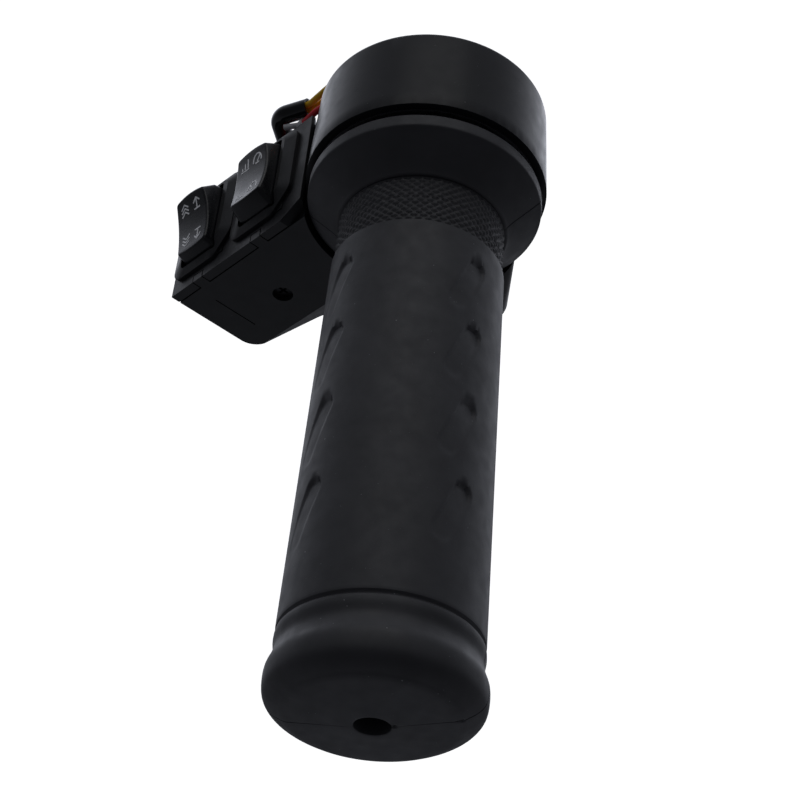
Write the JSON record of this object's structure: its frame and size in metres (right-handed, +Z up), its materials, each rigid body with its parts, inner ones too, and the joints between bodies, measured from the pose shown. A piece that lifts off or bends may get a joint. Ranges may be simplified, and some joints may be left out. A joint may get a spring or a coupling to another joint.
{
  "type": "twist throttle grip",
  "caption": "Full-length twist throttle for a handlebar end: rubber grip turning in a drum housing, with a side pod of rocker switches facing the rider.",
  "frame": {"origin": "on the handlebar's axis, in the plane of the drum's inboard face, where its hub clamps the bar", "axes": "+Y inboard along the handlebar, +Z up, +X forward, away from the rider"},
  "size_m": [0.0807, 0.1539, 0.0748],
  "materials": {
    "grip_rubber": "matte charcoal rubber, moulded",
    "drum_plastic": "satin black",
    "pod_plastic": "fine-grained black",
    "rocker_plastic": "semi-gloss black",
    "rotor_nylon": "dark grey nylon",
    "magnet": "bonded ferrite, dull grey",
    "black_screw": "black oxide",
    "bright_steel": "zinc plated",
    "white_nylon": "natural nylon",
    "contact_brass": "stamped brass",
    "board_green": "coated circuit board",
    "chip_black": "moulded epoxy",
    "jacket_black": "glossy black PVC",
    "wire_yellow": "yellow PVC",
    "wire_red": "red PVC",
    "sleeve_grey": "light grey heat shrink",
    "grommet_rubber": "black rubber"
  },
  "bodies": {
    "housing": {"bezel_1": "pod_plastic", "bezel_2": "pod_plastic", "board_screws": "bright_steel", "cable_jacket": "jacket_black", "clamp_screw": "bright_steel", "cover_screw": "black_screw", "drum_grommet": "grommet_rubber", "drum_housing": "drum_plastic", "hall_sensor": "chip_black", "jacket_grommet": "grommet_rubber", "lead_gland": "pod_plastic", "pivot_pin_1": "bright_steel", "pivot_pin_2": "bright_steel", "pod_body": "pod_plastic", "pod_cover": "pod_plastic", "pod_screws": "black_screw", "red_wire": "wire_red", "red_wire_grommet": "grommet_rubber", "return_spring": "bright_steel", "rotor_retainer": "rotor_nylon", "sensor_board": "board_green", "snap_ring": "bright_steel", "splice_sleeve": "sleeve_grey", "switch_case_1": "pod_plastic", "switch_case_2": "pod_plastic", "terminals_1": "contact_brass", "terminals_2": "contact_brass", "thrust_washer": "bright_steel", "yellow_wire_1": "wire_yellow", "yellow_wire_2": "wire_yellow"},
    "grip": {"rotor_tube": "rotor_nylon", "sensor_magnet": "magnet", "rubber_grip": "grip_rubber"},
    "rocker_1": {"rocker_1": "rocker_plastic", "plunger_1": "white_nylon", "plunger_spring_1": "bright_steel"},
    "rocker_2": {"rocker_2": "rocker_plastic", "plunger_2": "white_nylon", "plunger_spring_2": "bright_steel"},
    "blade_1": {"contact_blade_1": "contact_brass"},
    "blade_2": {"contact_blade_2": "contact_brass"}
  },
  "joints": [
    {"name": "throttle_twist", "type": "hinge", "parent": "housing", "child": "grip", "pos_m": [0, 0, 0], "axis": [0, -1, 0], "range_deg": [0, 75], "stiffness_Nm_per_rad": 0.15, "springref_deg": -57.3, "deforming": ["return_spring"]},
    {"name": "rocker_1_rock", "type": "hinge", "parent": "housing", "child": "rocker_1", "pos_m": [-0.04789, -0.0135, -0.02783], "axis": [-0.6428, 0, -0.766], "range_deg": [0, 24.6]},
    {"name": "rocker_2_rock", "type": "hinge", "parent": "housing", "child": "rocker_2", "pos_m": [-0.03484, -0.0135, -0.01228], "axis": [-0.6428, 0, -0.766], "range_deg": [-12.3, 12.3]},
    {"name": "blade_1_tilt", "type": "hinge", "parent": "housing", "child": "blade_1", "pos_m": [-0.04042, -0.0135, -0.03409], "axis": [-0.6428, 0, -0.766], "range_deg": [-16.2, 0.2]},
    {"name": "blade_2_tilt", "type": "hinge", "parent": "housing", "child": "blade_2", "pos_m": [-0.02737, -0.0135, -0.01854], "axis": [-0.6428, 0, -0.766], "range_deg": [-8.2, 8.2]}
  ],
  "couplings": [
    {"joint": "blade_1_tilt", "follows": "rocker_1_rock", "ratio": -0.65},
    {"joint": "blade_2_tilt", "follows": "rocker_2_rock", "ratio": -0.65}
  ]
}
